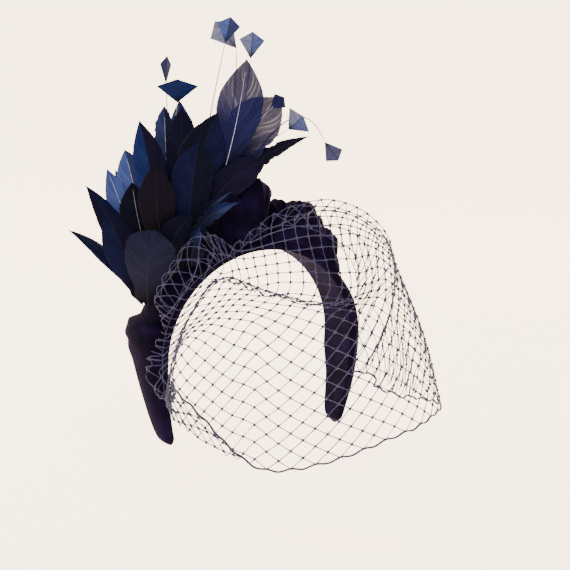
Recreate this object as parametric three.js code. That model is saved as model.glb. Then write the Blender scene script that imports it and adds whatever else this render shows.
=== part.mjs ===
// A fascinator: a padded velvet headband, a puffed velvet drape standing on its crown, a spray of
// leaf-cut feathers, stripped quills with kite-cut tips, and a cage veil of coarse netting.
// Millimetres, +Z up. The wearer faces -Y, and +X is the wearer's left. The origin is the middle of the
// headband's inner face at the crown, where it sits on the head.
import * as THREE from "three";

const { degToRad, clamp, lerp } = THREE.MathUtils;

// Rows of numbers become records with named columns.
function table(columns, rows) {
  const names = columns.split(" ");
  return rows.map((row) => Object.fromEntries(names.map((name, i) => [name, row[i]])));
}

// Headband: the inner face is a half circle over the crown, then two arms that draw in to their ends.
const CROWN_RADIUS = 75;
const ARM_DEPTH = 140;
const ARM_PINCH = 8;
const CROWN_FRONT = -19;
const ARM_LEAN = 0.1;
const QUARTER = (CROWN_RADIUS * Math.PI) / 2;
const HALF_BAND = QUARTER + ARM_DEPTH - CROWN_RADIUS;

// along: over the crown from its middle, minus on the wearer's right. width: front edge to back edge.
// pad: how thick the padding is under the velvet. The bulge before -97 is a cuff folded round the band.
const BAND = table("along width pad", [
  [-HALF_BAND, 11, 3.5],
  [-178, 19, 7],
  [-168, 24, 8.5],
  [-150, 29, 11],
  [-122, 41, 15],
  [-104, 49, 20],
  [-97, 49, 20],
  [-91, 43, 13.5],
  [-60, 40, 13],
  [-30, 38, 10],
  [0, 38, 9],
  [70, 38, 10],
  [96, 38, 13],
  [122, 38, 13],
  [150, 29, 11],
  [168, 24, 8.5],
  [178, 19, 7],
  [HALF_BAND, 11, 3.5],
]);

// Velvet drape on the crown, in two puffs. turn: degrees round the crown from its middle. lift: height
// of the top fold over the headband's inner face. fold: how far back of the middle that fold lies.
// pleat: how far the front stands out there.
const CLOTH = 2.4;
const DRAPE_TOP = table("turn lift fold pleat", [
  [-19, 13, -2, 0],
  [-16, 28, -4, 2],
  [-12, 36, -5, 5],
  [-7, 38, -1, 1],
  [-2, 44, -5, 6],
  [2, 48, -2, 1],
  [5, 43, -4, 4],
  [7, 34, -1, 0],
]);
const DRAPE_SIDE = table("turn lift fold pleat", [
  [8.5, 31, 2, 0],
  [15, 34, -1, 3],
  [23, 37, -3, 5],
  [29, 31, 0, 0],
  [35, 27, -2, 4],
  [41, 25, -4, 5],
  [45, 17, -1, 0],
  [50, 14, -1, 0],
]);

// The spray of feathers faces forward and to the wearer's right. across, up and toward are millimetres
// in its own frame: to its right, up, and out to whoever looks at it.
const SPRAY_TURN = degToRad(-29);
const SPRAY_TILT = degToRad(10);

// Feathers. turn, set: where the quill is sewn on, in degrees round the crown and back from its middle.
// across, up, toward: the tip. width: of the blade. sweep, arch: how far the middle bows to the side and
// outward. roll: degrees the blade turns about its quill. stem: bare share of the length. full: where the
// blade is widest, as a share of it. point: how blunt the tip is.
const FEATHERS = table("turn set across up toward width sweep arch roll stem full point", [
  [-66, 13, -135, 12, 0, 11, 6, 2, 20, 0.1, 0.5, 1.6],
  [-67, 8, -110, 0, 14, 10, 3, 3, 10, 0.1, 0.45, 1.6],
  [-64, 14, -122, 44, 4, 18, 5, 3, 12, 0.15, 0.55, 1.6],
  [-66, 6, -106, 27, 26, 27, 1, 6, 6, 0.1, 0.5, 1.8],
  [-58, 15, -108, 57, -10, 21, 1, 3, 8, 0.25, 0.55, 1.8],
  [-52, 15, -96, 72, -22, 23, 0, 3, -8, 0.3, 0.68, 2],
  [-47, 10, -83, 91, 6, 25, 2, 5, -6, 0.3, 0.55, 1.7],
  [-43, 15, -66, 103, -10, 18, 0, 4, 8, 0.4, 0.6, 2.6],
  [-38, 16, -56, 109, -28, 22, 2, 4, -12, 0.35, 0.6, 2],
  [-33, 4, -26, 96, 14, 34, -7, 5, -6, 0.25, 0.55, 1.8],
  [-37, -5, -38, 74, 29, 30, -3, 5, 4, 0.15, 0.6, 2.2],
  [-49, -4, -69, 58, 36, 27, -3, 6, -6, 0.15, 0.6, 2],
  [-56, 3, -88, 46, 10, 26, -2, 2, 6, 0.2, 0.6, 2],
  [-29, 7, -5, 135, 9, 34, 5, 6, -4, 0.4, 0.6, 1.8],
  [-27, 9, 21, 108, 0, 38, -12, 5, 6, 0.25, 0.65, 2.4],
  [-25, 11, 40, 81, -10, 12, -15, 4, 10, 0.4, 0.5, 1.4],
  [-31, -2, 9, 61, 23, 23, -13, 3, -6, 0.2, 0.65, 2.6],
  [-38, -13, -10, 30, 42, 12, -12, 4, -15, 0.2, 0.55, 1.6],
  [-47, -13, -42, 21, 43, 20, -10, 7, 8, 0.1, 0.6, 2],
  [-66, -1, -67, 10, 57, 36, -3, 9, 0, 0.08, 0.65, 3.2],
  [-40, 10, -53, 101, -2, 24, 2, 5, 4, 0.3, 0.6, 2.2],
  [-54, 17, -104, 58, -30, 13, 1, 3, 0, 0.4, 0.5, 1.6],
  [-33, -8, -15, 38, 38, 7, -10, 4, 0, 0.3, 0.5, 1.4],
  [-41, -15, -37, 13, 50, 10, -2, 3, 0, 0.15, 0.5, 1.8],
]);

// Stripped quills with kite-cut tips. across, up, toward: the kite's corner on the quill. run, rise,
// depth: from there to its far corner. width: of the kite. sweep, arch: bow of the quill. bow: how far
// along it the bow's handle lies.
const QUILLS = table("turn set across up toward run rise depth width sweep arch roll bow", [
  [-29, 16, -13, 146, -14, -16, 19.5, 3, 21, 8, 6, 0, 0.5],
  [-32, 10, -21, 149, -4, 4, 18.5, 2, 17, -2, 5, 5, 0.5],
  [-26, 16, -3, 140, -26, 1.5, 20.5, -2, 19, 6, 4, 0, 0.5],
  [-46, 16, -66, 122, -28, 1, 20, 2, 17, 2, 4, 66, 0.5],
  [-40, 16, -57, 107, -22, 0, 17, 3, 31, -3, 2, 0, 0.5],
  [-22, 12, 25, 87, -20, 11, 9, 8, 23, -12, 5, 0, 0.5],
  [-21, 18, 52, 78, -24, 10, -14, 2, 15, -31, -4, 0, 1.2],
  [-23, 6, 12, 101, -4, 10, 8, 1, 13, -12, 1, 0, 0.5],
]);

// Cage veil, in gores round the face. along: where its gathered edge is sewn on, over the crown. seam:
// its height there over the headband's inner face. proud: how far that is before the headband's front.
// crest, crestOut: top of the puff over the seam, by height and distance before the front. fall,
// fallOut: the hollow under the crest. facing: degrees round the face from the wearer's right.
// bend, bendUp, hem, hemUp: the bend above the face and the hem, as radius and height.
const VEIL = table("share along seam proud crest crestOut fall fallOut facing bend bendUp hem hemUp", [
  [0, -142, 4, 1, 10, 6, 5, 10, 12, 84, -98, 84, -106],
  [0.1, -122, 5, 1, 22, 9, 3, 12, 19, 94, -76, 93, -107],
  [0.2, -94, 6, 1, 14, 8, 2, 12, 34, 108, -50, 107, -112],
  [0.25, -79, 6, 1, 30, 10, 2, 13, 43, 115, -42, 115, -116],
  [0.3, -60, 5, 1, 33, 11, 3, 14, 52, 121, -36, 125, -122],
  [0.35, -42, 4, 1, 35, 11, 5, 17, 64, 127, -30, 137, -126],
  [0.4, -27, 4, 1, 13, 8, 8, 22, 78, 131, -24, 149, -119],
  [0.5, 4, 18, 6, 30, 12, 26, 36, 100, 120, -14, 153, -105],
  [0.6, 34, 20, 7, 46, 12, 38, 33, 117, 107, -4, 145, -101],
  [0.7, 62, 18, 6, 52, 10, 42, 28, 132, 102, -10, 134, -104],
  [0.8, 90, 10, 2, 40, 8, 30, 22, 146, 97, -34, 117, -108],
  [0.9, 116, 6, 1, 22, 8, 16, 18, 158, 92, -66, 102, -112],
  [1, 142, 4, 1, 10, 5, 10, 9, 168, 84, -98, 86, -108],
]);
const FACE_AXIS_Y = -12;
const VEIL_GORES = 12;
const VEIL_ROWS = 10;
const SEAM_GATHER = 1.3;
const NET_STRAND = 1.8;
const NET_GAUGE = 1;

const VELVET = new THREE.MeshStandardMaterial({ color: 0x140f33, roughness: 0.95, metalness: 0 });
const NAVY_FEATHER = new THREE.MeshStandardMaterial({ color: 0x11183d, roughness: 0.6, metalness: 0 });
const BLUE_FEATHER = new THREE.MeshStandardMaterial({ color: 0x2b4481, roughness: 0.55, metalness: 0 });
const NETTING = new THREE.MeshStandardMaterial({ color: 0x1b1c33, roughness: 0.7, metalness: 0 });

// One column of a table at a place between its rows, on a curve that never overshoots them.
function between(rows, key, column, at) {
  const last = rows.length - 1;
  const place = clamp(at, rows[0][key], rows[last][key]);
  let i = 0;
  while (i < last - 1 && place > rows[i + 1][key]) i += 1;
  const rise = (k) => (rows[k + 1][column] - rows[k][column]) / (rows[k + 1][key] - rows[k][key]);
  const slopeAt = (k) => {
    if (k === 0) return rise(0);
    if (k === last) return rise(last - 1);
    const [before, after] = [rise(k - 1), rise(k)];
    return before * after <= 0 ? 0 : (2 * before * after) / (before + after);
  };
  const span = rows[i + 1][key] - rows[i][key];
  const t = (place - rows[i][key]) / span;
  const [a, b] = [rows[i][column], rows[i + 1][column]];
  const [m, n] = [slopeAt(i) * span, slopeAt(i + 1) * span];
  return a + t * (m + t * (3 * (b - a) - 2 * m - n + t * (m + n - 2 * (b - a))));
}

// A closed solid through rings that all have the same number of points. A ring runs out along one face
// and back along the other, so its ends are capped from point to facing point.
function solidThrough(rings) {
  const size = rings[0].length;
  const index = [];
  for (let r = 0; r + 1 < rings.length; r += 1) {
    for (let k = 0; k < size; k += 1) {
      const [a, b] = [r * size + k, r * size + ((k + 1) % size)];
      index.push(a, a + size, b, b, a + size, b + size);
    }
  }
  const end = (rings.length - 1) * size;
  const cap = (a, b, c) => index.push(a, b, c, end + a, end + c, end + b);
  for (let k = 0; 2 * k + 2 < size; k += 1) {
    const facing = size - 1 - k;
    cap(k, k + 1, facing);
    if (k + 1 < facing - 1) cap(k + 1, facing - 1, facing);
  }
  return geometryOf(rings.flat(), index);
}

function geometryOf(points, index) {
  return new THREE.BufferGeometry().setFromPoints(points).setIndex(index);
}

function pieceOf(name, geometry, material) {
  const mesh = new THREE.Mesh(geometry, material);
  mesh.name = name;
  return mesh;
}

// A place on the headband: along its length, back from its front edge, and up from its inner face.
function onBand(along, back, up) {
  const side = Math.sign(along) || 1;
  const run = Math.abs(along);
  const down = Math.max(run - QUARTER, 0);
  const angle = Math.min(run, QUARTER) / CROWN_RADIUS;
  const armLength = HALF_BAND - QUARTER;
  const pinch = ARM_PINCH * (down / armLength) ** 2;
  const lean = Math.atan((2 * ARM_PINCH * down) / armLength ** 2);
  const [outX, outZ] = [Math.sin(angle + lean), Math.cos(angle + lean)];
  const x = CROWN_RADIUS * Math.sin(angle) - pinch;
  const z = CROWN_RADIUS * (Math.cos(angle) - 1) - down;
  return new THREE.Vector3(side * (x + outX * up), CROWN_FRONT - ARM_LEAN * z + back, z + outZ * up);
}

const alongOf = (turn) => CROWN_RADIUS * degToRad(turn);
const widthAt = (along) => between(BAND, "along", "width", along);
const padAt = (along) => between(BAND, "along", "pad", along);

// How high the velvet stands over the inner face, at a distance back from the front edge.
const CROWNING = 0.55;
function bandTop(along, back) {
  const share = clamp(1 - (2 * back) / widthAt(along), -1, 1);
  return padAt(along) * Math.sqrt(1 - share * share) ** CROWNING;
}

function headband() {
  const [stations, steps] = [46, 10];
  const rings = [];
  for (let i = 0; i <= stations; i += 1) {
    const along = HALF_BAND * ((2 * i) / stations - 1);
    const ring = [];
    for (let k = 0; k <= steps; k += 1) {
      const back = (widthAt(along) * (1 - Math.cos((Math.PI * k) / steps))) / 2;
      ring.push(onBand(along, back, bandTop(along, back)));
    }
    rings.push(ring);
  }
  return pieceOf("headband", solidThrough(rings), VELVET);
}

// One puff of the drape: a velvet wall that stands on the headband's front edge, folds over and comes
// down on its back edge. A ring is that wall cut across: over its outer face, and back under it.
const SEAT = 0.8;
function drape(name, rows) {
  const [stations, steps, inFromEdge] = [16, 12, 1.5];
  const [first, last] = [rows[0].turn, rows[rows.length - 1].turn];
  const rings = [];
  for (let i = 0; i <= stations; i += 1) {
    const turn = lerp(first, last, i / stations);
    const along = alongOf(turn);
    const [lift, fold, pleat] = ["lift", "fold", "pleat"].map((name) => between(rows, "turn", name, turn));
    const half = widthAt(along) / 2;
    const face = (inset) => {
      const line = [];
      for (let k = 0; k <= steps; k += 1) {
        const angle = (Math.PI * k) / steps;
        const rise = Math.sin(angle);
        const stand = Math.cos(angle) > 0 ? pleat * rise ** 2 : 0;
        const back = half - (half - inFromEdge - inset + stand) * Math.cos(angle) + fold * rise ** 3;
        const top = bandTop(along, back);
        line.push(onBand(along, back, top + SEAT + (lift - padAt(along) - inset) * rise ** 0.8));
      }
      return line;
    };
    rings.push([...face(0), ...face(CLOTH).reverse()]);
  }
  return pieceOf(name, solidThrough(rings), VELVET);
}

const ACROSS = new THREE.Vector3(Math.cos(SPRAY_TURN), Math.sin(SPRAY_TURN), 0);
const TOWARD = new THREE.Vector3(
  Math.sin(SPRAY_TURN) * Math.cos(SPRAY_TILT),
  -Math.cos(SPRAY_TURN) * Math.cos(SPRAY_TILT),
  Math.sin(SPRAY_TILT),
);
const UP = new THREE.Vector3().crossVectors(TOWARD, ACROSS);

function inSpray(across, up, toward) {
  const point = new THREE.Vector3().addScaledVector(ACROSS, across).addScaledVector(UP, up);
  return point.addScaledVector(TOWARD, toward);
}

const QUILL_RADIUS = 0.7;
const QUILL_SEAT = 1;
const BLADE = 0.9;
const TIP_WIDTH = 0.5;
const CUP = 0.16;
const FEATHER_STEPS = 10;
const HALFWAY = 0.5;

// The line of a quill, from where it is sewn on the velvet to its end, bowed to the side and outward.
function quillCurve(row) {
  const along = alongOf(row.turn);
  const back = row.set + widthAt(along) / 2;
  const foot = onBand(along, back, bandTop(along, back) + QUILL_SEAT);
  const end = inSpray(row.across, row.up, row.toward);
  const side = end.clone().sub(foot).cross(TOWARD).normalize();
  const middle = foot.clone().lerp(end, row.bow ?? HALFWAY);
  middle.addScaledVector(side, 2 * row.sweep).addScaledVector(TOWARD, 2 * row.arch);
  return new THREE.QuadraticBezierCurve3(foot, middle, end);
}

// The two directions across a blade that runs along an axis: to its side, and out of its face.
function bladeAxes(axis, roll) {
  const side = axis.clone().cross(TOWARD).normalize().applyAxisAngle(axis, degToRad(roll));
  return [side, side.clone().cross(axis)];
}

// Six points round a blade: its edges and its quill, on the face and on the back.
function bladeRing(centre, [side, face], half, thick, drop) {
  const at = (s, f) => centre.clone().addScaledVector(side, s).addScaledVector(face, f);
  const rim = (s, f) => at(s, f - drop);
  const t = thick / 2;
  return [rim(-half, -t), at(0, -t), rim(half, -t), rim(half, t), at(0, t), rim(-half, t)];
}

// Half width of a leaf-cut blade, as a share of its fullest, at a share of its length.
function leaf(share, row) {
  if (share <= 0) return 0;
  if (share < row.full) return Math.sin((Math.PI / 2) * (share / row.full)) ** 0.9;
  return 1 - ((share - row.full) / (1 - row.full)) ** row.point;
}

function feather(row, name) {
  const curve = quillCurve(row);
  const rings = [];
  for (let i = 0; i <= FEATHER_STEPS; i += 1) {
    const t = i / FEATHER_STEPS;
    const fullness = leaf((t - row.stem) / (1 - row.stem), row);
    const half = Math.max((row.width / 2) * fullness, lerp(QUILL_RADIUS, TIP_WIDTH, t));
    const thick = lerp(2 * QUILL_RADIUS, BLADE, Math.min(1, 2 * t));
    const axes = bladeAxes(curve.getTangent(t), row.roll);
    rings.push(bladeRing(curve.getPoint(t), axes, half, thick, CUP * fullness * half));
  }
  return pieceOf(name, solidThrough(rings), NAVY_FEATHER);
}

// A stripped quill, then its kite: widest at its side corners, and drawn to a point at its far one.
const KITE_WIDEST = 0.7;
function kiteQuill(row, name) {
  const curve = quillCurve(row);
  const rings = [];
  for (let i = 0; i < FEATHER_STEPS; i += 1) {
    const t = i / FEATHER_STEPS;
    const axes = bladeAxes(curve.getTangent(t), 0);
    rings.push(bladeRing(curve.getPoint(t), axes, QUILL_RADIUS, 2 * QUILL_RADIUS, 0));
  }
  const corner = inSpray(row.across, row.up, row.toward);
  const kite = inSpray(row.run, row.rise, row.depth);
  const axes = bladeAxes(kite.clone().normalize(), row.roll);
  const sections = [
    [0, QUILL_RADIUS],
    [KITE_WIDEST, row.width / 2],
    [1, TIP_WIDTH],
  ];
  for (const [share, half] of sections) {
    rings.push(bladeRing(corner.clone().addScaledVector(kite, share), axes, half, BLADE, 0));
  }
  return pieceOf(name, solidThrough(rings), BLUE_FEATHER);
}

// One gore line of the veil, from its seam to the hem.
function goreLine(share) {
  const value = (column) => between(VEIL, "share", column, share);
  const along = value("along");
  const before = (up, out) => onBand(along, -out, up);
  const facing = degToRad(value("facing"));
  const round = (out, z) => new THREE.Vector3(-out * Math.cos(facing), FACE_AXIS_Y - out * Math.sin(facing), z);
  const [bend, bendUp, hem, hemUp] = ["bend", "bendUp", "hem", "hemUp"].map(value);
  const bulge = 4;
  return new THREE.CatmullRomCurve3(
    [
      before(value("seam"), value("proud")),
      before(value("crest"), value("crestOut")),
      before(value("fall"), value("fallOut")),
      round(bend, bendUp),
      round((bend + hem) / 2 + bulge, (bendUp + hemUp) / 2),
      round(hem, hemUp),
    ],
    false,
    "centripetal",
  );
}

// Netting: a wall pierced by diamonds, with three-cornered gaps along its seam and its sides, and a hem
// that runs in points. Its knots lie on the gore lines, closer together towards the seam.
function veil() {
  const columns = 2 * VEIL_GORES;
  const knots = [];
  for (let i = 0; i <= columns; i += 1) {
    const line = goreLine(i / columns);
    const down = (j) => (j / VEIL_ROWS) ** SEAM_GATHER;
    knots.push(Array.from({ length: VEIL_ROWS + 1 }, (_, j) => line.getPointAt(down(j))));
  }
  const knot = (i, j) => knots[clamp(i, 0, columns)][clamp(j, 0, VEIL_ROWS)];
  const outward = (i, j) => {
    const across = knot(i + 1, j).clone().sub(knot(i - 1, j));
    return knot(i, j + 1).clone().sub(knot(i, j - 1)).cross(across).normalize();
  };

  // Each place on the net is two points, one on either face of the wall, and is known by the first.
  const points = [];
  const place = (point, normal) => {
    const half = NET_GAUGE / 2;
    points.push(point.clone().addScaledVector(normal, half), point.clone().addScaledVector(normal, -half));
    return points.length - 2;
  };
  const placed = new Map();
  const atKnot = ([i, j]) => {
    const key = `${i} ${j}`;
    if (!placed.has(key)) placed.set(key, place(knot(i, j), outward(i, j)));
    return placed.get(key);
  };

  // A corner of a gap, drawn in from its knot so that strands are left along both its sides.
  const drawnIn = (corners, k) => {
    const here = knot(...corners[k]);
    const beside = [1, corners.length - 1].map((step) => knot(...corners[(k + step) % corners.length]));
    const [next, last] = beside.map((point) => point.clone().sub(here));
    const shorter = Math.min(next.length(), last.length());
    next.normalize();
    last.normalize();
    const sine = Math.max(next.clone().cross(last).length(), 0.15);
    const inset = Math.min(NET_STRAND / 2, 0.2 * shorter * sine) / sine;
    return place(here.clone().addScaledVector(next.add(last), inset), outward(...corners[k]));
  };

  const index = [];
  const quad = (a, b, c, d) => index.push(a, b, c, a, c, d);
  const rims = new Map();
  const pierce = (corners) => {
    const outer = corners.map(atKnot);
    const inner = corners.map((_, k) => drawnIn(corners, k));
    for (let k = 0; k < corners.length; k += 1) {
      const m = (k + 1) % corners.length;
      quad(outer[k], outer[m], inner[m], inner[k]);
      quad(outer[m] + 1, outer[k] + 1, inner[k] + 1, inner[m] + 1);
      quad(inner[k], inner[m], inner[m] + 1, inner[k] + 1);
      const key = [outer[k], outer[m]].sort((a, b) => a - b).join(" ");
      if (!rims.delete(key)) rims.set(key, [outer[k], outer[m]]);
    }
  };
  for (let j = 0; j < VEIL_ROWS; j += 1) {
    for (let i = (j + 1) % 2; i <= columns; i += 2) {
      const corners = [[i - 1, j], [i, j + 1], [i + 1, j], [i, j - 1]];
      pierce(corners.filter(([p, q]) => p >= 0 && p <= columns && q >= 0));
    }
  }
  for (const [a, b] of rims.values()) quad(b, a, a + 1, b + 1);
  return pieceOf("veil", geometryOf(points, index), NETTING);
}

const fascinator = new THREE.Group();
fascinator.add(headband());
fascinator.add(drape("drape_top", DRAPE_TOP), drape("drape_side", DRAPE_SIDE));
FEATHERS.forEach((row, i) => fascinator.add(feather(row, `feather_${String(i + 1).padStart(2, "0")}`)));
QUILLS.forEach((row, i) => fascinator.add(kiteQuill(row, `kite_quill_${i + 1}`)));
fascinator.add(veil());

export default fascinator;
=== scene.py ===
import math

import bpy
from mathutils import Matrix, Vector, noise

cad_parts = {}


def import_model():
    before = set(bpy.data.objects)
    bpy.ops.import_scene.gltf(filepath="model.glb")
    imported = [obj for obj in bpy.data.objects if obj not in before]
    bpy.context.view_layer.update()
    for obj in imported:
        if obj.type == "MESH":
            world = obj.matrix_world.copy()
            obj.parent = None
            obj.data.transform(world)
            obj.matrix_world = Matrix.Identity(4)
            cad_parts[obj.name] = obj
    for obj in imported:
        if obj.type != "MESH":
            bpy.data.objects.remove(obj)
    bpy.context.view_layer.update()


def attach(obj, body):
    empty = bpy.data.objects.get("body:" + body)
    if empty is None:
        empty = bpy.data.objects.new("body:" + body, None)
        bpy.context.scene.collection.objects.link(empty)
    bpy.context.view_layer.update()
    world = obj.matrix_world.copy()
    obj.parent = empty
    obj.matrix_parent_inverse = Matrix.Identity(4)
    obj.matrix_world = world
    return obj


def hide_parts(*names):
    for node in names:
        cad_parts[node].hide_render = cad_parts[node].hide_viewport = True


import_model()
bpy.ops.object.select_all(action="DESELECT")

# Tables and sizes are in millimetres, as a milliner would write them, and MM brings them to metres.
MM = 0.001
TINY = 1e-6
WELD = 0.002


def table(columns, *rows):
    """Rows of numbers become records with named columns."""
    names = columns.split()
    return [dict(zip(names, row)) for row in rows]


def clamp(value, low, high):
    return max(low, min(high, value))


def lerp(a, b, t):
    return a + (b - a) * t


def smooth_step(low, high, value):
    t = clamp((value - low) / (high - low), 0, 1)
    return t * t * (3 - 2 * t)


def bump_at(value, centre, reach):
    """A rounded hump: 1 at its centre, and nothing beyond about two reaches."""
    return math.exp(-(((value - centre) / reach) ** 2))


def between(rows, key, column, at):
    """One column of a table at a place between its rows, on a curve that never overshoots them."""
    last = len(rows) - 1
    place = clamp(at, rows[0][key], rows[last][key])
    i = 0
    while i < last - 1 and place > rows[i + 1][key]:
        i += 1

    def rise(k):
        return (rows[k + 1][column] - rows[k][column]) / (rows[k + 1][key] - rows[k][key])

    def slope(k):
        if k == 0:
            return rise(0)
        if k == last:
            return rise(last - 1)
        before, after = rise(k - 1), rise(k)
        return 0 if before * after <= 0 else 2 * before * after / (before + after)

    span = rows[i + 1][key] - rows[i][key]
    t = (place - rows[i][key]) / span
    a, b = rows[i][column], rows[i + 1][column]
    m, n = slope(i) * span, slope(i + 1) * span
    return a + t * (m + t * (3 * (b - a) - 2 * m - n + t * (m + n - 2 * (b - a))))


# The headband's inner face is a half circle over the crown, then two arms that draw in to their ends.
CROWN_RADIUS = 75
ARM_DEPTH = 140
ARM_PINCH = 8
CROWN_FRONT = -19
ARM_LEAN = 0.1
QUARTER = CROWN_RADIUS * math.pi / 2
ARM_LENGTH = ARM_DEPTH - CROWN_RADIUS
HALF_BAND = QUARTER + ARM_LENGTH

# along: from the middle of the crown, less than 0 on the wearer's right. width: from the front edge to the
# back. pad: how thick the velvet and its padding are.
BAND = table(
    "along width pad",
    (-HALF_BAND, 11, 3.5),
    (-178, 19, 7),
    (-168, 24, 8.5),
    (-150, 29, 11),
    (-122, 41, 15),
    (-104, 49, 20),
    (-97, 49, 20),
    (-91, 43, 13.5),
    (-60, 40, 13),
    (-30, 38, 10),
    (0, 38, 9),
    (70, 38, 10),
    (96, 38, 13),
    (122, 38, 13),
    (150, 29, 11),
    (168, 24, 8.5),
    (178, 19, 7),
    (HALF_BAND, 11, 3.5),
)


def on_band(along, back, up):
    """A place on the headband: along its length, back from its front edge, up from its inner face."""
    side = -1 if along < 0 else 1
    run = abs(along)
    down = max(run - QUARTER, 0)
    angle = min(run, QUARTER) / CROWN_RADIUS
    pinch = ARM_PINCH * (down / ARM_LENGTH) ** 2
    lean = math.atan(2 * ARM_PINCH * down / ARM_LENGTH**2)
    out_x, out_z = math.sin(angle + lean), math.cos(angle + lean)
    x = CROWN_RADIUS * math.sin(angle) - pinch
    z = CROWN_RADIUS * (math.cos(angle) - 1) - down
    return Vector((side * (x + out_x * up), CROWN_FRONT - ARM_LEAN * z + back, z + out_z * up)) * MM


def along_of(turn):
    """How far along the headband a place is, from its turn round the crown in degrees."""
    return CROWN_RADIUS * math.radians(turn)


def width_at(along):
    return between(BAND, "along", "width", along)


def pad_at(along):
    return between(BAND, "along", "pad", along)


# Under 1, the padded top is flatter, and its edges fuller, than half an ellipse.
CROWNING = 0.55


def band_top(along, back):
    """How high the velvet stands over the inner face, at a distance back from the front edge."""
    share = clamp(1 - 2 * back / width_at(along), -1, 1)
    return pad_at(along) * math.sqrt(1 - share * share) ** CROWNING


# The spray of feathers faces forward and to the wearer's right: across to its right, up, and toward
# whoever looks at it.
SPRAY_TURN = math.radians(-29)
SPRAY_TILT = math.radians(10)
ACROSS = Vector((math.cos(SPRAY_TURN), math.sin(SPRAY_TURN), 0))
TOWARD = Vector((
    math.sin(SPRAY_TURN) * math.cos(SPRAY_TILT),
    -math.cos(SPRAY_TURN) * math.cos(SPRAY_TILT),
    math.sin(SPRAY_TILT),
))
UP = TOWARD.cross(ACROSS)


def in_spray(across, up, toward):
    return (ACROSS * across + UP * up + TOWARD * toward) * MM


def mesh_piece(name):
    """Names the object that an operator has just made."""
    piece = bpy.context.active_object
    piece.name = name
    piece.data.name = name
    return piece


def only(piece):
    bpy.ops.object.select_all(action="DESELECT")
    piece.select_set(True)
    bpy.context.view_layer.objects.active = piece


def grid_piece(name, columns, rows, place):
    """A sheet shaped from a grid: place(u, v) says where each of its points goes, u and v from 0 to 1."""
    bpy.ops.mesh.primitive_grid_add(x_subdivisions=columns, y_subdivisions=rows, size=1)
    piece = mesh_piece(name)
    for vertex in piece.data.vertices:
        vertex.co = place(vertex.co.x + 0.5, vertex.co.y + 0.5)
    return piece


def edit_all(piece, *steps):
    """Puts the whole of a piece through some steps in edit mode."""
    only(piece)
    bpy.ops.object.mode_set(mode="EDIT")
    bpy.ops.mesh.select_all(action="SELECT")
    for step in steps:
        step()
    bpy.ops.object.mode_set(mode="OBJECT")


def weld():
    bpy.ops.mesh.remove_doubles(threshold=WELD * MM)


def face_outward():
    bpy.ops.mesh.normals_make_consistent(inside=False)


def thicken(piece, thickness, offset=0):
    only(piece)
    wall = piece.modifiers.new("wall", "SOLIDIFY")
    wall.thickness = thickness * MM
    wall.offset = offset
    bpy.ops.object.modifier_apply(modifier=wall.name)


def smooth(piece):
    only(piece)
    bpy.ops.object.shade_smooth()


def joined(name, pieces):
    only(pieces[0])
    for piece in pieces[1:]:
        piece.select_set(True)
    bpy.ops.object.join()
    return mesh_piece(name)


TUBE_SIDES = 8
TUBE_STEPS = 16


def tube(name, line, radius, steps=TUBE_STEPS):
    """A closed round tube down a line: line(t) gives a point, its side and its face, t from 0 to 1."""

    def place(u, v):
        point, side, face = line(v)
        turn = 2 * math.pi * u
        wide = 0 if min(v, 1 - v) < TINY else radius(v) * MM
        return point + side * math.cos(turn) * wide + face * math.sin(turn) * wide

    piece = grid_piece(name, TUBE_SIDES, steps, place)
    edit_all(piece, weld, face_outward)
    smooth(piece)
    return piece


# Finishes. Each is made of nodes, and a colour or number that's the same all over stays on the shader.


class Finish:
    """A material in the making: nodes are added by kind, and linked as they are added."""

    def __init__(self, name):
        self.material = bpy.data.materials.new(name)
        self.material.use_nodes = True
        self.nodes = self.material.node_tree.nodes
        self.links = self.material.node_tree.links
        self.shader = self.nodes["Principled BSDF"]

    def add(self, kind, inputs=None, **settings):
        node = self.nodes.new(kind)
        for key, value in settings.items():
            setattr(node, key, value)
        for key, value in (inputs or {}).items():
            if isinstance(value, bpy.types.NodeSocket):
                self.links.new(value, node.inputs[key])
            else:
                node.inputs[key].default_value = value
        return node

    def math(self, operation, a, b=0.0):
        return self.add("ShaderNodeMath", {0: a, 1: b}, operation=operation).outputs[0]

    def mix(self, factor, a, b):
        return self.add("ShaderNodeMix", {0: factor, 6: a, 7: b}, data_type="RGBA").outputs[2]

    def ramp(self, value, low, high):
        inputs = {0: value, 1: low, 2: high}
        return self.add("ShaderNodeMapRange", inputs, interpolation_type="SMOOTHSTEP").outputs[0]

    def tint(self, color, value, saturation):
        inputs = {"Color": color, "Value": value, "Saturation": saturation}
        return self.add("ShaderNodeHueSaturation", inputs).outputs[0]

    def place(self):
        """Where a point lies on its piece."""
        return self.add("ShaderNodeTexCoord").outputs["Object"]

    def noise(self, vector, scale, detail, roughness):
        inputs = {"Vector": vector, "Scale": scale, "Detail": detail, "Roughness": roughness}
        return self.add("ShaderNodeTexNoise", inputs).outputs[0]

    def bump(self, height, distance, strength):
        inputs = {"Height": height, "Distance": distance * MM, "Strength": strength}
        node = self.add("ShaderNodeBump", inputs)
        self.links.new(node.outputs[0], self.shader.inputs["Normal"])

    def set(self, **values):
        for key, value in values.items():
            socket = self.shader.inputs[key.replace("_", " ").title().replace("Ior", "IOR")]
            if isinstance(value, bpy.types.NodeSocket):
                self.links.new(value, socket)
            else:
                socket.default_value = value


def rgb(red, green, blue):
    """A colour as it looks, on the scale of 0 to 255, as the shader's own light values."""
    def linear(value):
        value /= 255
        return value / 12.92 if value <= 0.04045 else ((value + 0.055) / 1.055) ** 2.4

    return (linear(red), linear(green), linear(blue), 1)


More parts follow.
